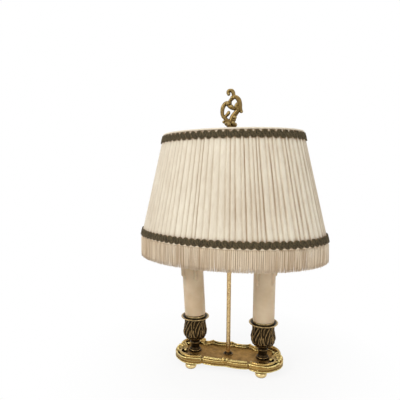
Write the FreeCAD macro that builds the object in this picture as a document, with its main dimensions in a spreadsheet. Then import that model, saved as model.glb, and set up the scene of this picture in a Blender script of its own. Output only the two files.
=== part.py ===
# Two-light bouillotte lamp in cast and turned brass, with an oval pleated shade.
# Millimetres. +Z is up, -Y is the front, and the origin is on the table under the stem.
import FreeCAD, Part
import math
import os
from types import SimpleNamespace

import Sketcher

V = FreeCAD.Vector

# Driving dimensions: name, value.
DIMENSIONS = {
    # Cast base tray
    "base_half_length": 77.5,
    "lobe_x": 50.0,
    "lobe_depth": 31.5,
    "groove_x": 32.0,
    "groove_radius": 1.5,
    "waist_depth": 26.5,
    "waist_swell": 1.8,
    "base_height": 8.5,
    "base_wall": 3.2,
    "floor_thickness": 1.8,
    "rim_height": 2.2,
    "rim_width": 4.2,
    "moulding_step": 1.3,
    "scroll_radius": 2.5,
    "bead_radius": 2.3,
    "boss_radius": 4.2,
    "bottom_cover_thickness": 0.8,
    "fit_gap": 0.3,
    "thread_gap": 0.05,
    # Bun feet
    "foot_height": 8.5,
    "foot_radius": 8.0,
    "foot_x": 49.0,
    "foot_y": 23.5,
    "stud_radius": 2.0,
    # Stem
    "rod_radius": 3.0,
    "stem_collar_radius": 6.5,
    "stem_collar_height": 4.6,
    "washer_radius": 7.0,
    "washer_thickness": 0.8,
    "stem_nut_flats": 10.0,
    "stem_nut_height": 2.4,
    # Candle arms
    "candle_x": 48.9,
    "cup_foot_radius": 8.6,
    "cup_neck_radius": 5.9,
    "cup_bowl_radius": 16.2,
    "cup_lip_radius": 14.6,
    "cup_height": 51.0,
    "cup_bowl_height": 35.0,
    "cup_wall": 2.6,
    "leaf_count": 8.0,
    "leaf_relief": 0.9,
    "nipple_radius": 4.0,
    "nipple_bore": 2.4,
    "nipple_nut_flats": 12.0,
    "nipple_nut_height": 2.0,
    "bobeche_radius": 20.1,
    "bobeche_thickness": 1.0,
    "candle_seat_height": 4.7,
    "spigot_height": 2.8,
    "candle_radius": 15.0,
    "candle_wall": 1.6,
    "candle_length": 99.0,
    "drip_radius": 1.5,
    "left_lean": 3.0,
    "right_lean": 0.0,
    # Lampholders and bulbs
    "holder_stem_radius": 5.5,
    "holder_stem_bore": 3.0,
    "holder_radius": 12.2,
    "holder_height": 40.0,
    "socket_depth": 25.0,
    "cap_radius": 6.9,
    "cap_length": 27.0,
    "cap_clearance": 0.08,
    "bulb_radius": 17.5,
    "bulb_length": 75.0,
    "glass_wall": 0.8,
    # Wiring
    "lead_radius": 0.75,
    "bush_radius": 2.6,
    "bush_bore": 1.65,
    "bush_flange": 0.4,
    # Shade
    "shade_bottom": 186.6,
    "shade_top": 321.7,
    "shade_bottom_long": 130.4,
    "shade_bottom_short": 93.0,
    "shade_top_long": 95.6,
    "shade_turn": -10.0,
    "pleat_count": 100.0,
    "pleat_depth": 2.2,
    "cover_thickness": 0.6,
    "lining_thickness": 1.0,
    "gimp_thickness": 2.0,
    "gimp_height": 10.0,
    "fringe_length": 27.0,
    "fringe_thickness": 1.4,
    "ring_wire_radius": 1.4,
    "rib_wire_radius": 1.0,
    "rib_count": 8.0,
    "ring_setback": 3.0,
    "hub_radius": 9.0,
    "hub_thickness": 2.0,
    "shade_rest_radius": 6.0,
    "shade_rest_height": 6.0,
    # Finial
    "finial_base_radius": 8.6,
    "finial_base_height": 23.0,
    "finial_thread": 7.5,
    "finial_scroll_radius": 1.8,
    "finial_scale": 1.0,
}

doc = FreeCAD.newDocument("bouillotte_lamp")
sheet = doc.addObject("Spreadsheet::Sheet", "Sizes")
for row, (name, value) in enumerate(DIMENSIONS.items(), start=1):
    sheet.set(f"A{row}", name)
    sheet.set(f"B{row}", str(value))
    sheet.setAlias(f"B{row}", name)
doc.recompute()


class Size:
    """A length with the sheet expression that it comes from."""

    def __init__(self, value, text):
        self.value = float(value)
        self.text = text

    def __add__(self, other):
        other = as_size(other)
        return Size(self.value + other.value, f"({self.text} + {other.text})")

    def __sub__(self, other):
        other = as_size(other)
        return Size(self.value - other.value, f"({self.text} - {other.text})")

    def __mul__(self, other):
        other = as_size(other)
        return Size(self.value * other.value, f"({self.text} * {other.text})")

    def __rmul__(self, other):
        return as_size(other) * self

    def __radd__(self, other):
        return as_size(other) + self

    def __rsub__(self, other):
        return as_size(other) - self

    def __neg__(self):
        return as_size(0) - self


def as_size(number):
    if isinstance(number, Size):
        return number
    return Size(number, str(float(number)))


size = SimpleNamespace(**{name: sheet.get(name) for name in DIMENSIONS})
bound = SimpleNamespace(**{name: Size(sheet.get(name), f"Sizes.{name}") for name in DIMENSIONS})

# Heights and stations that several pieces share
RIM_TOP = bound.foot_height + bound.base_height
FLOOR_TOP = RIM_TOP - bound.rim_height
FLOOR_UNDER = FLOOR_TOP - bound.floor_thickness
COVER_TOP = bound.foot_height + bound.bottom_cover_thickness
CUP_TOP = FLOOR_TOP + bound.cup_height
CANDLE_SEAT = CUP_TOP + bound.candle_seat_height
HUB_MIDDLE = bound.shade_top - bound.ring_setback
HUB_UNDER = HUB_MIDDLE - bound.hub_thickness * 0.5
HUB_TOP = HUB_UNDER + bound.hub_thickness
FINIAL_SEAT = HUB_TOP + bound.thread_gap
ROD_TOP = HUB_TOP + bound.finial_thread
LEAD_HEIGHT = COVER_TOP + bound.lead_radius + 0.15
NIPPLE_BOTTOM = LEAD_HEIGHT + bound.lead_radius + 0.3


# Building blocks

def origin_plane(body, role):
    return next(item for item in body.Origin.OriginFeatures if item.Role == role)


def bind_point(sketch, geometry, position, radius, height):
    """Tie one sketch point to its radius and height."""
    if radius.value == 0:
        sketch.addConstraint(Sketcher.Constraint("PointOnObject", geometry, position, -2))
    else:
        index = sketch.addConstraint(
            Sketcher.Constraint("DistanceX", -1, 1, geometry, position, radius.value))
        sketch.setExpression(f"Constraints[{index}]", radius.text)
    if height.value == 0:
        sketch.addConstraint(Sketcher.Constraint("PointOnObject", geometry, position, -1))
    else:
        index = sketch.addConstraint(
            Sketcher.Constraint("DistanceY", -1, 1, geometry, position, height.value))
        sketch.setExpression(f"Constraints[{index}]", height.text)


def turned(label, profile):
    """A lathe-turned body. Each step is (radius, height), with (radius, height) of a
    point that the curve to the next step passes through where that stretch is round."""
    body = doc.addObject("PartDesign::Body", label)
    body.Label = label
    sketch = body.newObject("Sketcher::SketchObject", f"{label}_profile")
    sketch.AttachmentSupport = (origin_plane(body, "XZ_Plane"), [""])
    sketch.MapMode = "FlatFace"
    steps = [[as_size(number) for number in step] for step in profile]
    ends = []
    for index, step in enumerate(steps):
        start = V(step[0].value, step[1].value, 0)
        following = steps[(index + 1) % len(steps)]
        finish = V(following[0].value, following[1].value, 0)
        if len(step) == 4:
            through = V(step[2].value, step[3].value, 0)
            forward = (through - start).cross(finish - through).z > 0
            first, last = (start, finish) if forward else (finish, start)
            arc = sketch.addGeometry(Part.Arc(first, through, last))
            point = sketch.addGeometry(Part.Point(through), True)
            sketch.addConstraint(Sketcher.Constraint("PointOnObject", point, 1, arc))
            bind_point(sketch, point, 1, step[2], step[3])
            ends.append((arc, 1, 2) if forward else (arc, 2, 1))
        else:
            ends.append((sketch.addGeometry(Part.LineSegment(start, finish)), 1, 2))
    for index, (geometry, first, _) in enumerate(ends):
        previous, _, last = ends[index - 1]
        sketch.addConstraint(Sketcher.Constraint("Coincident", previous, last, geometry, first))
        bind_point(sketch, geometry, first, steps[index][0], steps[index][1])
    revolution = body.newObject("PartDesign::Revolution", f"{label}_turned")
    revolution.Profile = sketch
    revolution.ReferenceAxis = (sketch, ["V_Axis"])
    revolution.Angle = 360.0
    sketch.Visibility = False
    nodes.append(body)
    return body


def feature(label, shape):
    """A casting, bent wire or textile whose form needs Part's own functions."""
    piece = doc.addObject("Part::Feature", label)
    piece.Label = label
    piece.Shape = shape
    nodes.append(piece)
    return piece


def place(piece, across=0, deep=0, up=0, lean=None, turn=None):
    """Move a piece to its station, leaning about the Y axis or turned about the Z axis."""
    piece.Placement = FreeCAD.Placement()
    if lean is not None:
        piece.Placement = FreeCAD.Placement(V(0, 0, 0), FreeCAD.Rotation(V(0, 1, 0), lean.value))
        piece.setExpression("Placement.Rotation.Angle", lean.text)
    if turn is not None:
        piece.Placement = FreeCAD.Placement(V(0, 0, 0), FreeCAD.Rotation(V(0, 0, 1), turn.value))
    for axis, distance in (("x", across), ("y", deep), ("z", up)):
        distance = as_size(distance)
        if distance.value != 0:
            piece.setExpression(f"Placement.Base.{axis}", distance.text)


def hex_nut(label, flats, height, bore, across, bottom):
    """A thin hexagon nut with a plain bore."""
    prism = doc.addObject("Part::Prism", f"{label}_hexagon")
    prism.Polygon = 6
    prism.setExpression("Circumradius", (flats * (1 / math.sqrt(3))).text)
    prism.setExpression("Height", height.text)
    hole = doc.addObject("Part::Cylinder", f"{label}_hole")
    hole.setExpression("Radius", bore.text)
    hole.setExpression("Height", height.text)
    nut = doc.addObject("Part::Cut", label)
    nut.Base = prism
    nut.Tool = hole
    nut.Label = label
    place(nut, across=across, up=bottom)
    nodes.append(nut)
    return nut


def pipe(path, radius, start, direction):
    """A round wire along a path that starts at a point in a direction."""
    section = Part.Face(Part.Wire(Part.makeCircle(radius, start, direction)))
    return Part.Wire(path).makePipe(section)


def chased_bar(path, radius, start, direction, upward, sides=6):
    """A bar with chased flats along a path, with one flat facing the given way."""
    forward = V(direction).normalize()
    side = forward.cross(upward).normalize()
    other = side.cross(forward)
    corners = []
    for corner in range(sides):
        angle = 2 * math.pi * (corner + 0.5) / sides
        corners.append(start + side * (radius * 1.06 * math.cos(angle))
                       + other * (radius * 1.06 * math.sin(angle)))
    section = Part.Face(Part.makePolygon(corners + corners[:1]))
    return Part.Wire(path).makePipe(section)


def arc_chain(start, heading, steps, to_point):
    """Tangent arcs in a plane: each step is (radius, turn in degrees, positive to the left)."""
    here = start
    angle = math.radians(heading)
    edges = []
    for radius, turn in steps:
        side = 1 if turn > 0 else -1
        centre = (here[0] - side * radius * math.sin(angle), here[1] + side * radius * math.cos(angle))
        points = []
        for share in (0, 0.5, 1):
            facing = angle + math.radians(turn) * share
            points.append((centre[0] + side * radius * math.sin(facing),
                           centre[1] - side * radius * math.cos(facing)))
        edges.append(Part.Arc(*[to_point(*point) for point in points]).toShape())
        here = points[-1]
        angle += math.radians(turn)
    return edges, here


def scroll(start, heading, steps, radius, to_point, eye_radius):
    """A cast scroll: a chased bar along tangent arcs, with a round eye at its tip."""
    edges, tip = arc_chain(start, heading, steps, to_point)
    first = edges[0].Vertexes[0].Point
    across = V(0, 1, 0)
    bar = chased_bar(edges, radius, first, edges[0].tangentAt(edges[0].FirstParameter), across)
    centre = to_point(*tip)
    half = radius * 1.25
    eye = Part.makeCone(eye_radius, eye_radius * 0.6, half, centre, across)
    back = Part.makeCone(eye_radius, eye_radius * 0.6, half, centre, across * -1)
    return [bar, eye, back]


def joined(base, additions):
    """One solid from overlapping solids, added in turn."""
    for addition in additions:
        base = base.fuse(addition)
    return base


def mirrored(shapes, across, deep):
    """The four copies of a quarter's shapes, about the YZ and XZ planes."""
    copies = list(shapes)
    if across:
        copies += [shape.mirror(V(0, 0, 0), V(1, 0, 0)) for shape in copies]
    if deep:
        copies += [shape.mirror(V(0, 0, 0), V(0, 1, 0)) for shape in copies]
    return copies


nodes = []


# Base tray

def base_outline(inset, height):
    """The bracket-shaped outline: a swelling waist between two round lobes."""
    end = size.base_half_length - inset
    lobe = size.lobe_depth - inset
    neck = size.waist_depth - inset
    swell = neck + size.waist_swell
    groove = size.groove_x
    shoulder_x = size.lobe_x + (size.base_half_length - size.lobe_x) * 0.62 - inset * 0.7
    shoulder_y = size.lobe_depth * 0.72 - inset * 0.7
    flank_x = size.base_half_length - (size.base_half_length - size.lobe_x) * 0.07 - inset
    flank_y = size.lobe_depth * 0.36
    quarter = [
        ((0, neck), (groove * 0.55, swell), (groove, neck)),
        ((groove, neck), (size.lobe_x, lobe), (shoulder_x, shoulder_y)),
    ]
    edges = []
    for across in (1, -1):
        for deep in (1, -1):
            for points in quarter:
                edges.append(Part.Arc(*[V(x * across, y * deep, height) for x, y in points]).toShape())
        points = ((shoulder_x, shoulder_y), (flank_x, flank_y), (end, 0))
        for deep in (1, -1):
            edges.append(Part.Arc(*[V(x * across, y * deep, height) for x, y in points]).toShape())
    return Part.Wire(Part.__sortEdges__(edges))


def base_slab(inset, bottom, top):
    return Part.Face(base_outline(inset, bottom)).extrude(V(0, 0, top - bottom))


def base_ornament():
    """Scrolls along the lobes, a shell at each end and beads at the middle of each side."""
    top = RIM_TOP.value - 0.4
    bar = size.scroll_radius
    inset = size.rim_width * 0.5

    def flat(x, y):
        return V(x, y, top)

    crescent_ends = [(size.groove_x + 3.0, -size.waist_depth + inset + 1.2),
                     (size.lobe_x, -size.lobe_depth + inset + 0.4),
                     (size.lobe_x + 14.0, -size.lobe_depth * 0.72 + inset - 0.2)]
    edge = Part.Arc(*[flat(*point) for point in crescent_ends]).toShape()
    crescent = chased_bar([edge], bar, flat(*crescent_ends[0]),
                          edge.tangentAt(edge.FirstParameter), V(0, 0, 1), 8)
    quarter = [crescent, Part.makeSphere(bar * 1.15, flat(*crescent_ends[0])),
               Part.makeSphere(bar * 1.15, flat(*crescent_ends[2]))]
    inner, _ = arc_chain((size.groove_x + 3.0, -size.waist_depth + inset + 1.2), 120, [(3.2, -170)], flat)
    quarter.append(chased_bar(inner, bar * 0.6, inner[0].Vertexes[0].Point,
                              inner[0].tangentAt(inner[0].FirstParameter), V(0, 0, 1)))
    quarter.append(Part.makeSphere(size.bead_radius,
                                   V(size.bead_radius * 1.1, -size.waist_depth + inset, top + 0.4)))
    shell = []
    for step in (-2, -1, 0, 1, 2):
        angle = math.radians(step * 24)
        reach = V(math.cos(angle), math.sin(angle), 0.16)
        foot = V(size.base_half_length - 15.0, step * 1.2, FLOOR_TOP.value + 0.2)
        length = 13.2 - abs(step) * 0.5
        shell.append(Part.makeCone(0.9, 2.1, length, foot, reach))
        shell.append(Part.makeSphere(2.1, foot + reach * (length / reach.Length)))
    return mirrored(quarter, True, True) + mirrored(shell, True, False)


def base_plate():
    """The tray: a stepped edge, a sunk floor, and a hollow underside with four foot bosses."""
    bottom = size.foot_height
    step = size.moulding_step
    lower_lip = base_slab(0, bottom, bottom + 1.6)
    recess = base_slab(step, bottom + 1.6, bottom + 4.4)
    rim = base_slab(0.2, bottom + 4.4, RIM_TOP.value - 0.8)
    rim_edge = base_slab(step * 0.7, RIM_TOP.value - 0.8, RIM_TOP.value)
    tray = lower_lip.fuse([recess, rim, rim_edge])
    tray = tray.cut(base_slab(size.rim_width, FLOOR_TOP.value, RIM_TOP.value + 1))
    tray = tray.fuse(base_ornament())
    hollow = base_slab(size.base_wall, bottom - 3.0, FLOOR_UNDER.value)
    boss_height = FLOOR_UNDER.value - COVER_TOP.value
    bosses = [Part.makeCylinder(size.boss_radius, boss_height, V(x, y, COVER_TOP.value))
              for x, y in foot_stations()]
    tray = tray.cut(hollow).fuse(bosses)
    cutters = [Part.makeCylinder(size.rod_radius + size.thread_gap, size.base_height * 2, V(0, 0, bottom))]
    for side in (-1, 1):
        cutters.append(Part.makeCylinder(size.nipple_radius + size.thread_gap, size.base_height * 2,
                                         V(side * size.candle_x, 0, bottom)))
        for deep in (-1, 1):
            cutters.append(Part.makeCylinder(size.groove_radius, size.base_height,
                                             V(side * size.groove_x, deep * (size.waist_depth + 0.6),
                                               bottom)))
    for x, y in foot_stations():
        cutters.append(Part.makeCylinder(size.stud_radius + size.thread_gap, boss_height,
                                         V(x, y, COVER_TOP.value)))
    cutters.append(Part.makeCylinder(size.bush_radius + size.thread_gap, size.base_wall + 4.0,
                                     V(0, size.waist_depth + 2.5, bush_height()), V(0, -1, 0)))
    cutters.append(Part.makeCylinder(size.bush_radius + size.bush_flange + size.thread_gap,
                                     size.waist_swell + 2.0,
                                     V(0, size.waist_depth + size.waist_swell + 2.0, bush_height()),
                                     V(0, -1, 0)))
    return tray.cut(cutters)


def foot_stations():
    return [(x * size.foot_x, y * size.foot_y) for y in (-1, 1) for x in (-1, 1)]


def bush_height():
    return (COVER_TOP.value + FLOOR_UNDER.value) / 2 + 0.2


def bottom_cover():
    """A thin plate that closes the underside, held by the four feet."""
    plate = base_slab(size.base_wall + size.fit_gap, size.foot_height, COVER_TOP.value)
    holes = [Part.makeCylinder(size.stud_radius + size.fit_gap, size.bottom_cover_thickness,
                               V(x, y, size.foot_height)) for x, y in foot_stations()]
    return plate.cut(holes)


def foot_profile():
    top = bound.foot_height
    stud_top = FLOOR_UNDER - 0.4
    return [
        (0, 0),
        (bound.foot_radius * 0.6, 0, bound.foot_radius, top * 0.45),
        (bound.foot_radius * 0.66, top * 0.88),
        (bound.foot_radius * 0.8, top * 0.92),
        (bound.foot_radius * 0.8, top),
        (bound.stud_radius, top),
        (bound.stud_radius, stud_top),
        (0, stud_top),
    ]


feature("base_plate", base_plate())
feature("bottom_cover", bottom_cover())
for row_name, deep in (("front", -1), ("rear", 1)):
    for side_name, side in (("left", -1), ("right", 1)):
        foot = turned(f"foot_{row_name}_{side_name}", foot_profile())
        place(foot, across=bound.foot_x * side, deep=bound.foot_y * deep)


# Cord inlet bush and the leads to both lampholders

def bush_profile():
    """Turned about its own axis, from the flange outside to the end inside the base."""
    reach = bound.base_wall - 0.5
    return [
        (bound.bush_bore, 0),
        (bound.bush_radius + bound.bush_flange, 0),
        (bound.bush_radius + bound.bush_flange, 1.0),
        (bound.bush_radius, 1.0),
        (bound.bush_radius, reach + 1.0),
        (bound.bush_bore, reach + 1.0),
    ]


bush = turned("cord_bush", bush_profile())
bush.Placement = FreeCAD.Placement(V(0, size.waist_depth + 1.0, bush_height()),
                                   FreeCAD.Rotation(V(1, 0, 0), 90))


def lead(side, lean):
    """One insulated lead: from the bush, across the base, up the nipple and the holder stem."""
    radius = size.lead_radius
    bend = radius * 2.2
    station = side * size.candle_x
    flat_height = LEAD_HEIGHT.value
    begin = V(side * radius * 1.05, size.waist_depth - size.base_wall - 1.2, flat_height)
    corner = V(station, 0, flat_height)
    rise = V(station, 0, CANDLE_SEAT.value)
    tilt = math.radians(lean)
    tip = rise + V(math.sin(tilt), 0, math.cos(tilt)) * (holder_floor() - 4.5)
    run = (corner - begin).normalize()
    up = V(0, 0, 1)
    bend_start = corner - run * bend
    bend_end = corner + up * bend
    bend_centre = bend_start + up * bend
    bend_middle = bend_centre + (run - up).normalize() * bend
    edges = [
        Part.LineSegment(begin, bend_start).toShape(),
        Part.Arc(bend_start, bend_middle, bend_end).toShape(),
        Part.LineSegment(bend_end, rise).toShape(),
    ]
    if lean:
        leaning = (tip - rise).normalize()
        ease = 30.0
        arc_start = rise - up * (ease * math.tan(tilt / 2) if tilt > 0 else ease * math.tan(-tilt / 2))
        arc_end = rise + leaning * (rise - arc_start).Length
        centre = arc_start + V(math.copysign(ease, tilt), 0, 0)
        middle = centre + ((rise - centre).normalize() * ease)
        edges[2] = Part.LineSegment(bend_end, arc_start).toShape()
        edges.append(Part.Arc(arc_start, middle, arc_end).toShape())
        edges.append(Part.LineSegment(arc_end, tip).toShape())
    else:
        edges[2] = Part.LineSegment(bend_end, tip).toShape()
    return pipe(edges, radius, begin, run)


def holder_floor():
    """Height of the socket's floor above the candle's seat."""
    return size.candle_length - 1.5 - size.socket_depth


# Stem

def stem_profile():
    return [
        (0, COVER_TOP + bound.fit_gap),
        (bound.rod_radius, COVER_TOP + bound.fit_gap),
        (bound.rod_radius, ROD_TOP - 0.5),
        (bound.rod_radius - 0.5, ROD_TOP),
        (0, ROD_TOP),
    ]


def stem_collar_profile():
    bore = bound.rod_radius + bound.thread_gap
    top = FLOOR_TOP + bound.stem_collar_height
    return [
        (bore, FLOOR_TOP),
        (bound.stem_collar_radius, FLOOR_TOP),
        (bound.stem_collar_radius, FLOOR_TOP + 1.0,
         bound.stem_collar_radius * 0.72, FLOOR_TOP + bound.stem_collar_height * 0.5),
        (bore + 0.9, top),
        (bore, top),
    ]


def washer_profile():
    bore = bound.rod_radius + bound.thread_gap
    bottom = FLOOR_UNDER - bound.washer_thickness
    return [(bore, bottom), (bound.washer_radius, bottom), (bound.washer_radius, FLOOR_UNDER),
            (bore, FLOOR_UNDER)]


def shade_rest_profile():
    bore = bound.rod_radius + bound.thread_gap
    top = HUB_UNDER - bound.thread_gap
    bottom = top - bound.shade_rest_height
    return [
        (bore, bottom),
        (bound.shade_rest_radius * 0.75, bottom),
        (bound.shade_rest_radius, bottom + bound.shade_rest_height * 0.5),
        (bound.shade_rest_radius, top),
        (bore, top),
    ]


turned("stem_rod", stem_profile())
turned("stem_collar", stem_collar_profile())
turned("stem_washer", washer_profile())
hex_nut("stem_nut", bound.stem_nut_flats, bound.stem_nut_height, bound.rod_radius + bound.thread_gap,
        as_size(0), FLOOR_UNDER - bound.washer_thickness - bound.stem_nut_height)
turned("shade_rest", shade_rest_profile())


# Candle arms

def leafy_section(radius, relief, height):
    """A closed outline of one arc for each leaf, with a groove between neighbours."""
    leaves = int(size.leaf_count)
    arcs = []
    for leaf in range(leaves):
        points = []
        for share, reach in ((-0.5, radius - relief), (0.0, radius + relief), (0.5, radius - relief)):
            angle = 2 * math.pi * (leaf + share) / leaves
            points.append(V(reach * math.cos(angle), reach * math.sin(angle), height))
        arcs.append(Part.Arc(*points).toShape())
    return Part.Wire(arcs)


def cup_shape():
    """An urn of upright leaves on a turned foot, standing on the floor of the tray."""
    floor = FLOOR_TOP.value
    top = CUP_TOP.value
    bowl_bottom = top - size.cup_bowl_height
    rise = size.cup_bowl_height
    neck = size.cup_neck_radius
    bowl = size.cup_bowl_radius
    lip = size.cup_lip_radius
    relief = size.leaf_relief
    belly = bowl - neck
    outline = [(0.0, neck + 1.4, 0.25), (0.06, neck + belly * 0.36, 0.6), (0.13, neck + belly * 0.64, 0.8),
               (0.22, bowl - belly * 0.13, 0.95), (0.33, bowl - 0.15, 1.1), (0.46, bowl, 1.1),
               (0.62, bowl - (bowl - lip) * 0.25, 0.9), (0.8, lip + (bowl - lip) * 0.25, 0.7),
               (1.0, lip, 0.5)]
    sections = [leafy_section(radius, relief * share, bowl_bottom + rise * level)
                for level, radius, share in outline]
    body = Part.makeLoft(sections, True, True)
    profile = [V(0, 0, floor), V(size.cup_foot_radius, 0, floor), V(size.cup_foot_radius, 0, floor + 2.4)]
    waist = [V(size.cup_foot_radius - 0.8, 0, floor + 3.2), V(neck + 0.4, 0, floor + 5.2),
             V(neck, 0, bowl_bottom - 3.4)]
    knop = [V(neck, 0, bowl_bottom - 3.4), V(neck + 2.0, 0, bowl_bottom - 1.6), V(neck, 0, bowl_bottom + 0.3)]
    edges = [Part.LineSegment(profile[0], profile[1]).toShape(),
             Part.LineSegment(profile[1], profile[2]).toShape(),
             Part.LineSegment(profile[2], waist[0]).toShape(),
             Part.Arc(*waist).toShape(),
             Part.Arc(*knop).toShape(),
             Part.LineSegment(knop[2], V(0, 0, bowl_bottom + 0.3)).toShape(),
             Part.LineSegment(V(0, 0, bowl_bottom + 0.3), profile[0]).toShape()]
    foot = Part.Face(Part.Wire(edges)).revolve(V(0, 0, 0), V(0, 0, 1), 360)
    cup = body.fuse(foot)
    inside = lip - relief * 0.5 - size.cup_wall
    depth = size.cup_bowl_height * 0.5
    hollow = Part.makeCylinder(inside, depth, V(0, 0, top - depth))
    hole = Part.makeCylinder(size.nipple_radius + size.thread_gap, size.cup_height, V(0, 0, floor))
    return cup.cut([hollow, hole])


def bobeche_profile():
    """The drip pan, with the collar that carries the candle tube."""
    hole = bound.nipple_radius + bound.fit_gap
    sheet_top = CUP_TOP + bound.bobeche_thickness
    rim = bound.bobeche_radius
    lip = bound.cup_lip_radius
    spigot = bound.candle_radius - bound.candle_wall - 0.4
    inner = spigot - 1.2
    return [
        (hole, CUP_TOP),
        (lip - 0.6, CUP_TOP),
        (rim - 1.6, CUP_TOP + 0.5),
        (rim - 0.5, CUP_TOP + 0.7),
        (rim, CUP_TOP + 1.2),
        (rim, CUP_TOP + 1.7),
        (rim - 0.6, CUP_TOP + 2.2),
        (rim - 1.7, CUP_TOP + 2.0),
        (rim - 2.6, sheet_top + 0.45),
        (bound.candle_radius + 0.2, sheet_top),
        (spigot + 0.9, CANDLE_SEAT),
        (spigot, CANDLE_SEAT),
        (spigot, CANDLE_SEAT + bound.spigot_height),
        (inner, CANDLE_SEAT + bound.spigot_height),
        (inner, sheet_top),
        (hole, sheet_top),
    ]


def nipple_profile():
    top = CANDLE_SEAT + bound.spigot_height
    return [(bound.nipple_bore, NIPPLE_BOTTOM), (bound.nipple_radius, NIPPLE_BOTTOM),
            (bound.nipple_radius, top), (bound.nipple_bore, top)]


def holder_stem_profile():
    """Heights from the candle's seat. The foot screws onto the nipple above the drip pan."""
    bore = bound.nipple_radius + bound.fit_gap
    foot = bound.bobeche_thickness - bound.candle_seat_height + 0.1
    shoulder = bound.spigot_height + 0.6
    top = bound.candle_length - 1.5 - bound.holder_height
    return [
        (bore, foot),
        (bore + 2.6, foot),
        (bore + 2.6, shoulder),
        (bound.holder_stem_radius, shoulder + 1.0),
        (bound.holder_stem_radius, top),
        (bound.holder_stem_bore, top),
        (bound.holder_stem_bore, shoulder),
        (bore, shoulder),
    ]


def lampholder_profile():
    """Heights from the candle's seat. The socket is open at the top and takes the bulb's cap."""
    top = bound.candle_length - 1.5
    bottom = top - bound.holder_height
    floor = top - bound.socket_depth
    socket = bound.cap_radius + bound.cap_clearance
    return [
        (bound.holder_stem_bore, bottom),
        (bound.holder_radius - 1.0, bottom),
        (bound.holder_radius, bottom + 1.0),
        (bound.holder_radius, top - 1.0),
        (bound.holder_radius - 1.0, top),
        (socket, top),
        (socket, floor),
        (bound.holder_stem_bore, floor),
    ]


def contact_profile():
    """Heights from the candle's seat. The centre contact stands in the socket's floor."""
    floor = bound.candle_length - 1.5 - bound.socket_depth
    radius = bound.holder_stem_bore - bound.thread_gap
    return [(0, floor - 3.0), (radius, floor - 3.0), (radius, floor), (radius - 0.9, floor + 0.8),
            (0, floor + 0.8)]


def cap_profile():
    """Heights from the candle's seat. The bulb's cap stops just above the centre contact."""
    tip = bound.candle_length - 1.5 - bound.socket_depth + 1.1
    top = tip + bound.cap_length
    return [(0, tip), (2.4, tip), (3.2, tip + 1.2), (bound.cap_radius - 0.8, tip + 3.0),
            (bound.cap_radius, tip + 4.0), (bound.cap_radius, top), (0, top)]


def bulb_profile():
    """Heights from the candle's seat. A hollow candle-shaped envelope above the cap."""
    base = bound.candle_length - 1.5 - bound.socket_depth + 1.1 + bound.cap_length
    tip = base + bound.bulb_length
    wall = bound.glass_wall
    neck = bound.cap_radius - 0.1
    belly = bound.bulb_radius
    length = bound.bulb_length
    return [
        (neck - wall, base),
        (neck, base),
        (belly * 0.82, base + length * 0.2, belly, base + length * 0.36),
        (belly * 0.86, base + length * 0.52),
        (4.4, tip - 4.6, 3.5, tip - 2.0),
        (1.6, tip - 0.6),
        (0, tip),
        (0, tip - wall - 1.4),
        (2.6, tip - wall - 3.6),
        (belly * 0.86 - wall, base + length * 0.52),
        (belly - wall, base + length * 0.36),
        (belly * 0.82 - wall, base + length * 0.2),
    ]


def candle_shape(drips):
    """The candle tube with its run wax; each drip is (angle in degrees, length)."""
    radius = size.candle_radius
    length = size.candle_length
    tube = Part.makeCylinder(radius, length)
    for angle, drop in drips:
        around = math.radians(angle)
        axis = V(math.cos(around), math.sin(around), 0) * (radius - size.drip_radius * 0.35)
        run = Part.makeCylinder(size.drip_radius, drop - 2.0, V(axis.x, axis.y, length - drop))
        tear = Part.makeSphere(size.drip_radius * 1.2, V(axis.x, axis.y, length - drop))
        tube = tube.fuse([run, tear])
    collar = Part.makeTorus(radius - 1.0, 2.0, V(0, 0, length - 2.4))
    tube = tube.fuse(collar)
    bore = Part.makeCylinder(radius - size.candle_wall, length + 4.0, V(0, 0, -2.0))
    return tube.cut(bore)


def filament_shape():
    """A glass stem with its bowed filament, inside the bulb."""
    base = size.candle_length - 1.5 - size.socket_depth + 1.1 + size.cap_length
    stem = Part.makeCone(2.6, 1.2, 16.0, V(0, 0, base))
    foot = V(1.0, 0, base + 14.0)
    bow = Part.Arc(foot, V(7.0, 0, base + 26.0), V(0, 0, base + 38.0)).toShape()
    other = Part.Arc(V(0, 0, base + 38.0), V(-7.0, 0, base + 26.0), V(-1.0, 0, base + 14.0)).toShape()
    wire = chased_bar([bow, other], 0.4, foot, bow.tangentAt(bow.FirstParameter), V(0, 1, 0), 4)
    return stem.fuse(wire)


LEFT_DRIPS = [(188, 42.0), (228, 43.0), (300, 44.0), (262, 22.0), (20, 30.0), (95, 38.0), (140, 18.0)]
RIGHT_DRIPS = [(238, 46.0), (322, 44.0), (282, 24.0), (195, 20.0), (10, 34.0), (80, 26.0), (130, 40.0)]

for side_name, side, lean_size, drips in (("left", -1, -bound.left_lean, LEFT_DRIPS),
                                          ("right", 1, bound.right_lean, RIGHT_DRIPS)):
    station = bound.candle_x * side
    lift = math.sin(math.radians(abs(lean_size.value))) * size.candle_radius
    seat = CANDLE_SEAT + lift
    cup = feature(f"cup_{side_name}", cup_shape())
    place(cup, across=station)
    place(turned(f"nipple_{side_name}", nipple_profile()), across=station)
    hex_nut(f"nipple_nut_{side_name}", bound.nipple_nut_flats, bound.nipple_nut_height,
            bound.nipple_radius + bound.thread_gap, station, FLOOR_UNDER - bound.nipple_nut_height)
    place(turned(f"bobeche_{side_name}", bobeche_profile()), across=station)
    leaning = [
        turned(f"holder_stem_{side_name}", holder_stem_profile()),
        turned(f"lampholder_{side_name}", lampholder_profile()),
        turned(f"contact_{side_name}", contact_profile()),
        feature(f"candle_{side_name}", candle_shape(drips)),
        turned(f"bulb_cap_{side_name}", cap_profile()),
        turned(f"bulb_glass_{side_name}", bulb_profile()),
        feature(f"filament_{side_name}", filament_shape()),
    ]
    for piece in leaning:
        place(piece, across=station, up=seat, lean=lean_size)
    feature(f"lead_{side_name}", lead(side, lean_size.value))


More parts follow.
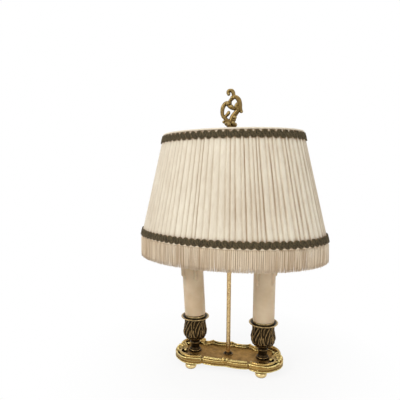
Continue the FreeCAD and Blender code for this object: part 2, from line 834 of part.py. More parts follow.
# Shade

def oval(long_radius, short_radius, height):
    if long_radius >= short_radius:
        curve = Part.Ellipse(V(0, 0, height), long_radius, short_radius)
        return Part.Wire(curve.toShape())
    curve = Part.Ellipse(V(0, short_radius, height), V(long_radius, 0, height), V(0, 0, height))
    return Part.Wire(curve.toShape())


def shade_radii(inset, height):
    """Half axes of the shade's oval cone at a height. Every layer runs to the same point
    above the shade, so an inset, measured at the long end below, narrows with the cone."""
    rise = (height - size.shade_bottom) / (size.shade_top - size.shade_bottom)
    taper = 1 + (size.shade_top_long / size.shade_bottom_long - 1) * rise
    share = taper * (1 - inset / size.shade_bottom_long)
    return size.shade_bottom_long * share, size.shade_bottom_short * share


def oval_shell(outer_inset, thickness, bottom, top):
    """A band that follows the cone between two heights."""
    shells = []
    for inset in (outer_inset, outer_inset + thickness):
        wires = [oval(*shade_radii(inset, height), height) for height in (bottom, top)]
        shells.append(Part.makeLoft(wires, True, True))
    return shells[0].cut(shells[1])


COVER_INSET = size.gimp_thickness
LINING_INSET = COVER_INSET + size.pleat_depth + size.cover_thickness + 0.2


def frame_radii(height):
    """Half axes for the centre of the frame's wires, clear of the lining's inside."""
    inside = shade_radii(LINING_INSET + size.lining_thickness, height)
    gap = size.ring_wire_radius + 0.15
    return inside[0] - gap, inside[1] - gap


def smooth_outline(inset, height):
    """The oval in as many short sides as there are pleats, so that every side stays flat."""
    long_radius, short_radius = shade_radii(inset, height)
    count = int(size.pleat_count)
    points = []
    for pleat in range(count):
        angle = 2 * math.pi * pleat / count
        points.append(V(long_radius * math.cos(angle), short_radius * math.sin(angle), height))
    return Part.makePolygon(points + points[:1])


def shade_lining():
    """The smooth lining, over the frame and behind the pleats."""
    shells = []
    for inset in (LINING_INSET, LINING_INSET + size.lining_thickness):
        outlines = [smooth_outline(inset, height) for height in (size.shade_bottom, size.shade_top)]
        shells.append(Part.makeLoft(outlines, True, True))
    return shells[0].cut(shells[1])


def pleated_outline(inset, height):
    """Knife pleats laid one way round: a long outer face and a short return for each."""
    count = int(size.pleat_count)
    points = []
    for pleat in range(count):
        for share, depth in ((0.0, 0.0), (0.82, size.pleat_depth)):
            angle = 2 * math.pi * (pleat + share) / count
            long_radius, short_radius = shade_radii(inset + depth, height)
            points.append(V(long_radius * math.cos(angle), short_radius * math.sin(angle), height))
    return Part.makePolygon(points + points[:1])


def shade_cover():
    """The pleated fabric as one closed skin, smooth on the side that lies on the lining."""
    bottom = size.shade_bottom
    top = size.shade_top
    outer = Part.makeLoft([pleated_outline(COVER_INSET, height) for height in (bottom, top)], True, True)
    inset = COVER_INSET + size.pleat_depth + size.cover_thickness
    wires = [smooth_outline(inset, height) for height in (bottom - 1.0, top + 1.0)]
    return outer.cut(Part.makeLoft(wires, True, True))


def fringe_shape():
    """The hanging fringe as one thin skirt, sewn on behind the lower gimp."""
    top = size.shade_bottom - 0.3
    bottom = size.shade_bottom - size.fringe_length
    shells = []
    for inset in (COVER_INSET + 0.1, COVER_INSET + 0.1 + size.fringe_thickness):
        long_radius, short_radius = shade_radii(inset, size.shade_bottom)
        wires = [oval(long_radius + 1.2, short_radius + 1.2, bottom), oval(long_radius, short_radius, top)]
        shells.append(Part.makeLoft(wires, True, True))
    return shells[0].cut(shells[1])


def ring_wire(height):
    """An oval wire bent as sixteen arcs."""
    long_radius, short_radius = frame_radii(height)

    def bend(step):
        angle = math.pi * step / 16
        return V(long_radius * math.cos(angle), short_radius * math.sin(angle), height)

    path = [Part.Arc(bend(step), bend(step + 1), bend(step + 2)).toShape() for step in range(0, 32, 2)]
    start = path[0].Vertexes[0].Point
    return chased_bar(path, size.ring_wire_radius, start, path[0].tangentAt(path[0].FirstParameter),
                      V(0, 0, 1), 8)


def straight_wire(start, end, radius):
    return Part.makeCylinder(radius, (end - start).Length, start, end - start)


def solder_gap():
    """From the middle of a ring's wire to the end of a wire that is soldered to it."""
    return size.ring_wire_radius * 1.06 + size.fit_gap * 0.4


def shade_rib(number):
    """One of the straight wires between the two rings."""
    angle = 2 * math.pi * (number + 0.5) / int(size.rib_count)
    ends = []
    for height in (size.shade_bottom + size.ring_setback, HUB_MIDDLE.value):
        long_radius, short_radius = frame_radii(height)
        ends.append(V(long_radius * math.cos(angle), short_radius * math.sin(angle), height))
    along = (ends[1] - ends[0]).normalize() * solder_gap()
    return straight_wire(ends[0] + along, ends[1] - along, size.rib_wire_radius)


def shade_spider():
    """The hub on the stem and its four arms to the upper ring."""
    high = HUB_MIDDLE.value
    long_radius, short_radius = frame_radii(high)
    arms = []
    for x, y in ((long_radius, 0), (-long_radius, 0), (0, short_radius), (0, -short_radius)):
        outward = V(x, y, 0).normalize()
        start = outward * (size.hub_radius - 1.5) + V(0, 0, high)
        arms.append(straight_wire(start, V(x, y, high) - outward * solder_gap(),
                                  size.rib_wire_radius * 0.95))
    hub = Part.makeCylinder(size.hub_radius, size.hub_thickness, V(0, 0, HUB_UNDER.value))
    bore = Part.makeCylinder(size.rod_radius + size.thread_gap, size.hub_thickness + 2.0,
                             V(0, 0, HUB_UNDER.value - 1.0))
    return hub.fuse(arms).cut(bore)


shade_pieces = {
    "shade_spider": shade_spider(),
    "shade_ring_upper": ring_wire(HUB_MIDDLE.value),
    "shade_ring_lower": ring_wire(size.shade_bottom + size.ring_setback),
    "shade_lining": shade_lining(),
    "shade_cover": shade_cover(),
    "top_gimp": oval_shell(0, size.gimp_thickness, size.shade_top - size.gimp_height, size.shade_top + 0.6),
    "bottom_gimp": oval_shell(0, size.gimp_thickness, size.shade_bottom - 0.6,
                              size.shade_bottom - 0.6 + size.gimp_height),
    "fringe": fringe_shape(),
}
for number in range(int(size.rib_count)):
    shade_pieces[f"shade_rib_{number + 1}"] = shade_rib(number)
for label, shape in shade_pieces.items():
    piece = feature(label, shape)
    place(piece, turn=bound.shade_turn)


# Finial

def finial_shape():
    """Openwork scrolls on a turned base that screws onto the stem over the shade's hub."""
    seat = FINIAL_SEAT.value
    bore = size.rod_radius + size.thread_gap
    radius = size.finial_base_radius
    height = size.finial_base_height
    depth = size.finial_thread + 0.4
    scale = size.finial_scale

    def upright(x, z):
        return V(x * scale, 0, seat + height + z * scale)

    profile = [
        Part.LineSegment(V(bore, 0, seat), V(6.4, 0, seat)),
        Part.LineSegment(V(6.4, 0, seat), V(6.4, 0, seat + 1.6)),
        Part.Arc(V(6.4, 0, seat + 1.6), V(4.9, 0, seat + 4.4), V(5.0, 0, seat + 8.8)),
        Part.Arc(V(5.0, 0, seat + 8.8), V(radius * 0.86, 0, seat + height * 0.48),
                 V(radius, 0, seat + height * 0.66)),
        Part.Arc(V(radius, 0, seat + height * 0.66), V(radius * 0.83, 0, seat + height * 0.86),
                 V(3.2, 0, seat + height)),
        Part.LineSegment(V(3.2, 0, seat + height), V(0, 0, seat + height)),
        Part.LineSegment(V(0, 0, seat + height), V(0, 0, seat + depth)),
        Part.LineSegment(V(0, 0, seat + depth), V(bore, 0, seat + depth)),
        Part.LineSegment(V(bore, 0, seat + depth), V(bore, 0, seat)),
    ]
    base = Part.Face(Part.Wire([edge.toShape() for edge in profile])).revolve(V(0, 0, 0), V(0, 0, 1), 360)
    bar = size.finial_scroll_radius
    scrolls = []
    scrolls += scroll((-2.4, -1.4), 142, [(13.5, -52), (8.0, -90), (4.4, -180), (2.6, -80)],
                      bar, upright, 2.2)
    scrolls += scroll((2.4, -1.4), 34, [(19.0, 41), (9.5, 78), (7.2, -84), (4.6, 205)], bar, upright, 2.0)
    scrolls += scroll((6.2, 3.6), 14, [(11.0, 62)], bar * 0.85, upright, 2.6)
    scrolls += scroll((13.9, 12.0), 84, [(8.4, 100)], bar * 0.8, upright, 1.8)
    scrolls += scroll((-5.6, -2.6), 150, [(7.0, -50)], bar * 0.8, upright, 2.1)
    scrolls.append(Part.makeSphere(3.0, upright(1.6, 15.6)))
    scrolls.append(Part.makeSphere(2.4, upright(0.6, 1.0)))
    return joined(base, scrolls)


feature("finial", finial_shape())


# Check every object, then write one STEP file for each piece.
doc.recompute()
for item in doc.Objects:
    if "Invalid" in item.State or "Error" in item.State:
        raise RuntimeError(f"{item.Label} did not compute: {item.State}")
for piece in nodes:
    shape = piece.Shape
    if shape.isNull() or not shape.isValid() or not shape.Solids:
        raise RuntimeError(f"{piece.Label} has no valid solid")

os.makedirs("parts", exist_ok=True)
for piece in nodes:
    piece.Shape.exportStep(f"parts/{piece.Label}.step")
    box = piece.Shape.BoundBox
    print(f"{piece.Label}: {len(piece.Shape.Solids)} solid, {piece.Shape.Volume:.1f} mm3, "
          f"z {box.ZMin:.2f} to {box.ZMax:.2f}")
print(f"{len(nodes)} pieces")
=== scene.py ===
# Looks of the two-light bouillotte lamp: materials, cloth, braid, fringe and cast ornament.
import math
import random

import bpy
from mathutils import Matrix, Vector, noise


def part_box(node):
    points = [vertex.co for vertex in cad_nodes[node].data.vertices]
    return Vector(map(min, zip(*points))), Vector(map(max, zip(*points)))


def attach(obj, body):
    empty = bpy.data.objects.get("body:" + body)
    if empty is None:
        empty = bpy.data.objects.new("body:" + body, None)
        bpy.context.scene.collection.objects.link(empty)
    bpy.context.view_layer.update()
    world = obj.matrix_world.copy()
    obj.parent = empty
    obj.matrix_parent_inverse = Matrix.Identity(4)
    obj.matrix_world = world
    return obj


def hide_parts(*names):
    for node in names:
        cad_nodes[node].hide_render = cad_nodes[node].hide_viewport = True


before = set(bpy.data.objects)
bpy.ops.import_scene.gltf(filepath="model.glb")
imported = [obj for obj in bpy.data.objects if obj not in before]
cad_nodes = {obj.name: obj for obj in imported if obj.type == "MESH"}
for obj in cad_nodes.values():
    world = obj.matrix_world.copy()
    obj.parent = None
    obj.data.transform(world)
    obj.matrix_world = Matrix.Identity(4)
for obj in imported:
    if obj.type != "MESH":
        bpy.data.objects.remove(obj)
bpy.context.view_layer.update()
random.seed(7)

# Shapes are written in millimetres, materials and the studio in metres
MM = 0.001
CIRCLE = 2 * math.pi

# The shade's oval cone, as the CAD has it
SHADE_BOTTOM = 186.6
SHADE_TOP = 321.7
SHADE_RISE = SHADE_TOP - SHADE_BOTTOM
LONG = 130.4
SHORT = 93.0
TAPER = 95.6 / 130.4
TURN = math.radians(-10.0)
COVER_INSET = 2.0
PLEAT_DEPTH = 2.7
LINING_INSET = 5.4

CANDLE_X = 48.9
CANDLE_SEAT = 70.5
CANDLE_LENGTH = 99.0
CANDLE_RADIUS = 15.0
LEAN = math.radians(3.0)


# Mesh building

def ring_angles(count):
    return [CIRCLE * k / count for k in range(count)]


def circle(radius, height, count, centre_x=0.0):
    """Points evenly round an upright axis."""
    return [Vector((centre_x + radius * math.cos(angle), radius * math.sin(angle), height))
            for angle in ring_angles(count)]


class Shape:
    """Collects rings and caps of points in millimetres, then makes one mesh object."""

    def __init__(self):
        self.points = []
        self.faces = []

    def ring(self, points):
        first = len(self.points)
        self.points += points
        return list(range(first, len(self.points)))

    def bridge(self, low, high, closed=True):
        count = len(low)
        for step in range(count if closed else count - 1):
            after = (step + 1) % count
            self.faces.append((low[step], low[after], high[after], high[step]))

    def grid(self, rows, around=False, along=False):
        rings = [self.ring(row) for row in rows]
        for low, high in zip(rings, rings[1:]):
            self.bridge(low, high, around)
        if along:
            self.bridge(rings[-1], rings[0], around)
        return rings

    def capped(self, rows):
        """Rings joined into one form, with a face over each end."""
        made = self.grid(rows, around=True)
        self.faces.append(tuple(reversed(made[0])))
        self.faces.append(tuple(made[-1]))

    def tube(self, path, radii, sides=8, closed=False):
        """A round bar along points, with one radius or a radius for each point."""
        path = [Vector(point) for point in path]
        count = len(path)
        if isinstance(radii, (int, float)):
            radii = [radii] * count
        side = None
        rings = []
        for step, point in enumerate(path):
            before = path[(step - 1) % count] if closed else path[max(step - 1, 0)]
            after = path[(step + 1) % count] if closed else path[min(step + 1, count - 1)]
            forward = (after - before).normalized()
            if side is None:
                side = forward.cross(Vector((0.31, 0.2, 1.0))).normalized()
            side = (side - forward * side.dot(forward)).normalized()
            other = forward.cross(side)
            rings.append([point + (side * math.cos(angle) + other * math.sin(angle)) * radii[step]
                          for angle in ring_angles(sides)])
        if closed:
            self.grid(rings, around=True, along=True)
        else:
            self.capped(rings)

    def bar(self, points, weight=1.0, steps=6, sides=10):
        """A soft bar through (x, y, z, radius) points, with its radii multiplied by a weight."""
        line = smooth_path(points, steps)
        self.tube([point[:3] for point in line], [point[3] * weight for point in line], sides)

    def ball(self, centre, radius, stretch=(1, 1, 1), sides=14):
        centre = Vector(centre)
        levels = sides // 2
        rows = []
        for level in range(1, levels):
            polar = math.pi * level / levels
            rows.append([centre + Vector((math.sin(polar) * math.cos(angle) * stretch[0],
                                          math.sin(polar) * math.sin(angle) * stretch[1],
                                          -math.cos(polar) * stretch[2])) * radius
                         for angle in ring_angles(sides)])
        self.capped(rows)

    def make(self, name, body, material):
        mesh = bpy.data.meshes.new(name)
        mesh.from_pydata([tuple(Vector(point) * MM) for point in self.points], [], self.faces)
        mesh.update()
        for polygon in mesh.polygons:
            polygon.use_smooth = True
        piece = bpy.data.objects.new(name, mesh)
        bpy.context.scene.collection.objects.link(piece)
        mesh.materials.append(material)
        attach(piece, body)
        return piece


def smooth_path(points, steps):
    """A soft curve through the points, which carry any number of values each."""
    ends = [points[0]] + points + [points[-1]]
    path = []
    for before, start, end, after in zip(ends, ends[1:], ends[2:], ends[3:]):
        for step in range(steps):
            t = step / steps
            path.append([0.5 * ((2 * q) + (r - p) * t + (2 * p - 5 * q + 4 * r - s) * t * t
                                + (3 * q - p - 3 * r + s) * t * t * t)
                         for p, q, r, s in zip(before, start, end, after)])
    path.append(points[-1])
    return path


def cast(piece, voxel, rounds):
    """Melts the overlapping shapes of a piece into one cast skin."""
    remesh = piece.modifiers.new("cast skin", "REMESH")
    remesh.mode = "VOXEL"
    remesh.voxel_size = voxel * MM
    remesh.use_smooth_shade = True
    soften = piece.modifiers.new("soft edges", "SMOOTH")
    soften.factor = 0.5
    soften.iterations = rounds


def copy_points(shape, node_name):
    """Adds a CAD node's own faces to a shape, in millimetres."""
    mesh = cad_nodes[node_name].data
    first = len(shape.points)
    shape.points += [vertex.co / MM for vertex in mesh.vertices]
    shape.faces += [tuple(first + index for index in polygon.vertices) for polygon in mesh.polygons]


# Node helpers

COLOR = "NodeSocketColor"
FLOAT = "NodeSocketFloat"
VECTOR = "NodeSocketVector"


def fill(tree, node, key, value):
    """Sets an input to a plain value, or links the socket that feeds it."""
    if isinstance(value, bpy.types.NodeSocket):
        tree.links.new(value, node.inputs[key])
    else:
        node.inputs[key].default_value = value


def add(tree, kind, inputs=None, **settings):
    node = tree.nodes.new(kind)
    for key, value in settings.items():
        setattr(node, key, value)
    for key, value in (inputs or {}).items():
        fill(tree, node, key, value)
    return node


def linear(red, green, blue):
    """A colour from 0 to 255 as screens show it, as Blender's linear colour."""
    return tuple((c / 255 / 12.92) if c <= 10 else ((c / 255 + 0.055) / 1.055) ** 2.4
                 for c in (red, green, blue)) + (1.0,)


def new_group(name, inputs, outputs):
    """A node group from (name, socket type, value) inputs and (name, socket type) outputs."""
    group = bpy.data.node_groups.new(name, "ShaderNodeTree")
    for label, kind, value in inputs:
        socket = group.interface.new_socket(label, in_out="INPUT", socket_type=kind)
        socket.default_value = value
    for label, kind in outputs:
        group.interface.new_socket(label, in_out="OUTPUT", socket_type=kind)
    given = group.nodes.new("NodeGroupInput").outputs
    return group, given, group.nodes.new("NodeGroupOutput")


def blend(tree, factor, first, second):
    """Mixes two colours."""
    node = add(tree, "ShaderNodeMix", data_type="RGBA")
    for index, value in ((0, factor), (6, first), (7, second)):
        fill(tree, node, index, value)
    return node.outputs[2]


def spread(tree, value, low, high, to_low=0.0, to_high=1.0):
    """Maps a value from one range to another, held at the ends."""
    return add(tree, "ShaderNodeMapRange", {"Value": value, "From Min": low, "From Max": high,
                                            "To Min": to_low, "To Max": to_high}).outputs[0]


def maths(tree, operation, first, second):
    return add(tree, "ShaderNodeMath", {0: first, 1: second}, operation=operation).outputs[0]


def object_place(tree):
    return add(tree, "ShaderNodeTexCoord").outputs["Object"]


def clouds(tree, place, scale, detail, roughness=0.5):
    return add(tree, "ShaderNodeTexNoise", {"Vector": place, "Scale": scale, "Detail": detail,
                                            "Roughness": roughness}).outputs["Fac"]


def long_clouds(tree, place, scale, detail):
    """Clouds stretched by a different scale each way."""
    stretched = add(tree, "ShaderNodeMapping", {"Vector": place, "Scale": scale}).outputs[0]
    return clouds(tree, stretched, 1.0, detail)


def openness(tree, distance):
    """Near 0 in a hollow as wide as the distance, 1 in the open."""
    return add(tree, "ShaderNodeAmbientOcclusion", {"Distance": distance}, samples=8).outputs["AO"]


def bumped(tree, height, strength, distance):
    return add(tree, "ShaderNodeBump", {"Strength": strength, "Distance": distance,
                                        "Height": height}).outputs[0]


def patina_group():
    """Old brass: dark in the hollows, rubbed bright on the edges, cloudy between."""
    group, given, made = new_group(
        "old brass patina",
        [("Metal", COLOR, linear(190, 150, 90)), ("Tarnish", COLOR, linear(60, 42, 26)),
         ("Rubbed", COLOR, linear(235, 205, 140)), ("Tarnish Amount", FLOAT, 0.4),
         ("Hollow Width", FLOAT, 0.003), ("Roughness", FLOAT, 0.35), ("Pitting", FLOAT, 0.2)],
        [("Color", COLOR), ("Roughness", FLOAT), ("Normal", VECTOR)])
    place = object_place(group)
    patches = clouds(group, place, 95.0, 6.0, 0.62)
    specks = clouds(group, place, 900.0, 3.0)
    edges = add(group, "ShaderNodeNewGeometry").outputs["Pointiness"]
    sunk = spread(group, openness(group, given["Hollow Width"]), 0.5, 0.98, 1.0, 0.0)
    grooved = spread(group, edges, 0.45, 0.495, 0.9, 0.0)
    cloudy = maths(group, "MULTIPLY", spread(group, patches, 0.35, 0.65), given["Tarnish Amount"])
    dirt = maths(group, "MAXIMUM", maths(group, "MAXIMUM", sunk, grooved), cloudy)
    worn = maths(group, "MULTIPLY", spread(group, edges, 0.505, 0.54), spread(group, specks, 0.3, 0.55))
    colour = blend(group, dirt, given["Metal"], given["Tarnish"])
    colour = blend(group, worn, colour, given["Rubbed"])
    rough = maths(group, "ADD", given["Roughness"], maths(group, "MULTIPLY", dirt, 0.22))
    height = maths(group, "ADD", maths(group, "MULTIPLY", specks, 0.4), patches)
    fill(group, made, "Color", colour)
    fill(group, made, "Roughness", rough)
    fill(group, made, "Normal", bumped(group, height, given["Pitting"], 0.0006))
    return group


def cloth_group():
    """Slubby silk or yarn: fine threads both ways, streaks, soft yellowing and painted shade in the
    creases.
    """
    group, given, made = new_group(
        "slubby silk",
        [("Cloth", COLOR, linear(228, 216, 190)), ("Shade and Age", COLOR, linear(186, 160, 118)),
         ("Slub Color", COLOR, linear(250, 245, 232)), ("Shade Width", FLOAT, 0.004),
         ("Thread", FLOAT, 0.25), ("Streaks", FLOAT, 0.1), ("Slubs", FLOAT, 0.18)],
        [("Color", COLOR), ("Normal", VECTOR)])
    place = object_place(group)
    yarns = long_clouds(group, place, (420.0, 420.0, 9.0), 2.0)
    slubs = long_clouds(group, place, (900.0, 900.0, 60.0), 4.0)
    threads = long_clouds(group, place, (120.0, 120.0, 1500.0), 2.0)
    age = clouds(group, place, 14.0, 5.0)
    # Painted shade: creases and gaps between yarns darken by how closed in they are, towards the colour
    # that also tints the yellowing and streaks
    crease_shade = spread(group, openness(group, given["Shade Width"]), 0.42, 0.97, 1.0, 0.0)
    slubbed = maths(group, "MULTIPLY", spread(group, slubs, 0.35, 0.75), given["Slubs"])
    streaked = maths(group, "MULTIPLY", spread(group, yarns, 0.45, 0.62), given["Streaks"])
    colour = blend(group, crease_shade, given["Cloth"], given["Shade and Age"])
    colour = blend(group, spread(group, age, 0.42, 0.75, 0.0, 0.3), colour, given["Shade and Age"])
    colour = blend(group, slubbed, colour, given["Slub Color"])
    colour = blend(group, streaked, colour, given["Shade and Age"])
    height = maths(group, "ADD", slubs, threads)
    fill(group, made, "Color", colour)
    fill(group, made, "Normal", bumped(group, height, given["Thread"], 0.0003))
    return group


def mottle_group():
    """Uneven colour, a fine grain and painted shade in the hollows, for wax, plastic, lacquer and glass.
    """
    group, given, made = new_group(
        "mottled surface",
        [("Main", COLOR, linear(190, 170, 140)), ("Patches", COLOR, linear(160, 130, 95)),
         ("Patch Size", FLOAT, 60.0), ("Grain Size", FLOAT, 900.0), ("Grain", FLOAT, 0.15),
         ("Hollow Shade", COLOR, linear(110, 80, 56))],
        [("Color", COLOR), ("Normal", VECTOR)])
    place = object_place(group)
    patches = clouds(group, place, given["Patch Size"], 6.0)
    grain = clouds(group, place, given["Grain Size"], 3.0)
    # Painted shade: hollows darken by how closed in they are
    sunk = spread(group, openness(group, 0.003), 0.6, 0.97, 0.75, 0.0)
    colour = blend(group, spread(group, patches, 0.35, 0.72), given["Main"], given["Patches"])
    colour = blend(group, sunk, colour, given["Hollow Shade"])
    fill(group, made, "Color", colour)
    fill(group, made, "Normal", bumped(group, grain, given["Grain"], 0.0004))
    return group


PATINA = patina_group()
CLOTH = cloth_group()
MOTTLE = mottle_group()


def new_material(name, group, effect, principled):
    """A material whose colour and relief come from a shared effect."""
    material = bpy.data.materials.new(name)
    material.use_nodes = True
    tree = material.node_tree
    shader = tree.nodes["Principled BSDF"]
    look = tree.nodes.new("ShaderNodeGroup")
    look.node_tree = group
    for key, value in effect.items():
        look.inputs[key].default_value = value
    tree.links.new(look.outputs["Color"], shader.inputs["Base Color"])
    tree.links.new(look.outputs["Normal"], shader.inputs["Normal"])
    if "Roughness" in look.outputs:
        tree.links.new(look.outputs["Roughness"], shader.inputs["Roughness"])
    for key, value in principled.items():
        shader.inputs[key].default_value = value
    return material


def brass(name, metal, tarnish, rubbed, amount, roughness, pitting=0.25, hollow=0.004):
    effect = {"Metal": linear(*metal), "Tarnish": linear(*tarnish), "Rubbed": linear(*rubbed),
              "Tarnish Amount": amount, "Roughness": roughness, "Pitting": pitting,
              "Hollow Width": hollow}
    return new_material(name, PATINA, effect, {"Metallic": 1.0})


tray_brass = brass("gilt cast brass", (178, 138, 74), (40, 25, 10), (255, 236, 160),
                   amount=0.5, roughness=0.22, pitting=0.28, hollow=0.007)
foot_brass = brass("polished foot brass", (226, 198, 136), (96, 66, 34), (252, 234, 180),
                   amount=0.25, roughness=0.26)
cup_brass = brass("dark cast brass", (58, 45, 28), (9, 7, 4), (166, 136, 90),
                  amount=0.5, roughness=0.26, hollow=0.008)
pan_brass = brass("drip pan brass", (92, 78, 50), (26, 22, 13), (206, 178, 128),
                  amount=0.5, roughness=0.3)
rod_brass = brass("worn stem brass", (150, 116, 78), (92, 54, 32), (226, 196, 142),
                  amount=0.8, roughness=0.2, pitting=0.1)
finial_brass = brass("finial brass", (128, 102, 58), (22, 15, 7), (240, 216, 150),
                     amount=0.5, roughness=0.26, hollow=0.006)
plated = brass("plated steel", (190, 188, 184), (104, 98, 90), (230, 228, 224),
               amount=0.3, roughness=0.35)
cover_metal = brass("brown cover steel", (92, 84, 72), (48, 40, 32), (130, 120, 104),
                    amount=0.5, roughness=0.5)

# Each cloth's second, darker colour is painted shade in its creases and gaps, and also tints its
# yellowing and streaks
silk = new_material(
    "pleated silk", CLOTH,
    {"Cloth": linear(245, 235, 213), "Shade and Age": linear(156, 116, 66), "Shade Width": 0.006},
    {"Roughness": 0.62, "Sheen Weight": 0.25, "Sheen Roughness": 0.4})
lining_cloth = new_material(
    "lining silk", CLOTH,
    {"Cloth": linear(240, 232, 212), "Shade and Age": linear(206, 184, 146), "Thread": 0.12},
    {"Roughness": 0.7, "Sheen Weight": 0.15})
braid_yarn = new_material(
    "olive braid", CLOTH,
    {"Cloth": linear(76, 64, 38), "Shade and Age": linear(14, 10, 5), "Slub Color": linear(150, 132, 94),
     "Shade Width": 0.0022, "Thread": 0.6, "Slubs": 0.5},
    {"Roughness": 0.8})
fringe_yarn = new_material(
    "fringe yarn", CLOTH,
    {"Cloth": linear(252, 236, 208), "Shade and Age": linear(178, 142, 98), "Shade Width": 0.0016,
     "Thread": 0.2, "Streaks": 0.5},
    {"Roughness": 0.5, "Sheen Weight": 0.25})
wax = new_material(
    "parchment wax", MOTTLE,
    {"Main": linear(224, 202, 170), "Patches": linear(204, 178, 142), "Patch Size": 38.0,
     "Grain Size": 500.0, "Grain": 0.12},
    {"Roughness": 0.48, "Subsurface Weight": 0.15, "Subsurface Scale": 0.002})
lacquer = new_material(
    "cream frame lacquer", MOTTLE,
    {"Main": linear(214, 206, 182), "Patches": linear(176, 160, 126), "Grain": 0.1},
    {"Roughness": 0.45})
bakelite = new_material(
    "brown holder plastic", MOTTLE,
    {"Main": linear(70, 52, 38), "Patches": linear(44, 32, 24), "Grain": 0.08},
    {"Roughness": 0.32})
ivory = new_material(
    "ivory lead sleeve", MOTTLE,
    {"Main": linear(196, 186, 160), "Patches": linear(160, 146, 116), "Grain": 0.1},
    {"Roughness": 0.5})
tungsten = new_material(
    "filament wire", MOTTLE,
    {"Main": linear(110, 104, 96), "Patches": linear(70, 64, 58), "Grain": 0.2},
    {"Metallic": 1.0, "Roughness": 0.35})
pearl_glass = new_material(
    "pearl bulb glass", MOTTLE,
    {"Main": linear(246, 242, 232), "Patches": linear(236, 228, 212), "Grain": 0.02},
    {"Roughness": 0.2, "Transmission Weight": 0.35, "IOR": 1.45})


def punch_ground(material):
    """Matting punched into the tray's sunk ground, which lies between two heights."""
    tree = material.node_tree
    shader = tree.nodes["Principled BSDF"]
    place = object_place(tree)
    height = add(tree, "ShaderNodeSeparateXYZ", {0: place}).outputs["Z"]
    below_rim = spread(tree, height, 0.0153, 0.0158, 1.0, 0.0)
    above_wall = spread(tree, height, 0.0139, 0.0143)
    ground = maths(tree, "MULTIPLY", below_rim, above_wall)
    punches = add(tree, "ShaderNodeTexVoronoi", {"Vector": place, "Scale": 1100.0}).outputs["Distance"]
    plain_normal = shader.inputs["Normal"].links[0].from_socket
    plain_roughness = shader.inputs["Roughness"].links[0].from_socket
    matting = add(tree, "ShaderNodeBump", {"Strength": maths(tree, "MULTIPLY", ground, 0.9),
                                           "Distance": 0.0005, "Height": punches,
                                           "Normal": plain_normal}).outputs[0]
    dulled = maths(tree, "ADD", plain_roughness, maths(tree, "MULTIPLY", ground, 0.22))
    tree.links.new(matting, shader.inputs["Normal"])
    tree.links.new(dulled, shader.inputs["Roughness"])


punch_ground(tray_brass)

# Materials of the CAD nodes that are shown as they are, by how their names begin
NODE_LOOKS = {
    "bottom_cover": cover_metal, "cord_bush": bakelite, "stem_rod": rod_brass, "stem_collar": cup_brass,
    "stem_washer": plated, "stem_nut": plated, "shade_rest": rod_brass, "foot": foot_brass,
    "nipple": plated, "bobeche": pan_brass, "holder_stem": plated, "lampholder": bakelite,
    "contact": plated, "bulb_cap": plated, "bulb_glass": pearl_glass, "filament": tungsten,
    "lead": ivory, "shade_spider": lacquer, "shade_ring": lacquer, "shade_rib": lacquer,
}
for node_name, node in cad_nodes.items():
    for start, look in NODE_LOOKS.items():
        if node_name.startswith(start):
            node.data.materials.clear()
            node.data.materials.append(look)


# The shade's oval, walked evenly

EVEN_STEPS = 1440
ROUND_STEPS = 360


def even_angles():
    """Angles that divide the shade's lower oval into equal lengths."""
    fine = 3600
    lengths = [0.0]
    for step in range(fine):
        angle = CIRCLE * (step + 0.5) / fine
        lengths.append(lengths[-1] + math.hypot(LONG * math.sin(angle), SHORT * math.cos(angle)))
    angles = []
    step = 0
    for index in range(EVEN_STEPS):
        target = lengths[-1] * index / EVEN_STEPS
        while lengths[step + 1] < target:
            step += 1
        angles.append(CIRCLE * step / fine)
    return angles


EVEN = even_angles()


def shade_angle(share):
    place = (share % 1.0) * EVEN_STEPS
    step = int(place)
    first = EVEN[step % EVEN_STEPS]
    second = EVEN[(step + 1) % EVEN_STEPS] + (CIRCLE if step == EVEN_STEPS - 1 else 0)
    return first + (second - first) * (place - step)


def on_shade(share, height, inset):
    """A point at a share of the way round, a height and a depth behind the outer oval."""
    angle = shade_angle(share)
    taper = 1 + (TAPER - 1) * (height - SHADE_BOTTOM) / SHADE_RISE
    size = taper * (1 - inset / LONG)
    x = LONG * size * math.cos(angle)
    y = SHORT * size * math.sin(angle)
    return Vector((x * math.cos(TURN) - y * math.sin(TURN), x * math.sin(TURN) + y * math.cos(TURN),
                   height))


def shade_row(count, height, inset):
    """Points evenly round the shade."""
    return [on_shade(k / count, height, inset) for k in range(count)]


# Pleated cover

PLEATS = 96
COVER_LEVELS = 30
LINING_LEVELS = 12
LINING_SIDES = 240

# Across one pleat, as (share of its width, share of its depth)
PLEAT_PROFILE = [(0.0, 0.05), (0.12, 0.0), (0.3, 0.1), (0.5, 0.3), (0.68, 0.55), (0.8, 0.8),
                 (0.88, 1.0), (0.95, 0.85)]


def pleat_columns():
    """Each column's share of the way round, its share of the depth, and its pleat's own wander."""
    widths = [random.uniform(0.62, 1.45) for _ in range(PLEATS)]
    total = sum(widths)
    columns = []
    start = 0.0
    for width in widths:
        deep = random.uniform(0.7, 1.0)
        wander = random.uniform(0, 50)
        for share, depth in PLEAT_PROFILE:
            columns.append(((start + share * width) / total, depth * deep, wander))
        start += width
    return columns


def pleated_cover():
    """Pleats laid one way round, uneven in width and soft in the crease."""
    columns = pleat_columns()
    rows = []
    for level in range(COVER_LEVELS + 1):
        height = SHADE_BOTTOM + 0.2 + SHADE_RISE * level / COVER_LEVELS
        pinch = 1 - 0.25 * abs(2 * level / COVER_LEVELS - 1) ** 3
        row = []
        for share, depth, wander in columns:
            drift = noise.noise(Vector((wander, height * 0.02, 0.0))) * 0.0011
            puff = noise.noise(Vector((wander, height * 0.035, 9.0))) * 0.35
            inset = COVER_INSET + PLEAT_DEPTH * depth * pinch - puff * depth
            row.append(on_shade(share + drift, height, inset))
        rows.append(row)
    shape = Shape()
    shape.grid(rows, around=True)
    piece = shape.make("pleated_cover", "shade", silk)
    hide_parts("shade_cover")


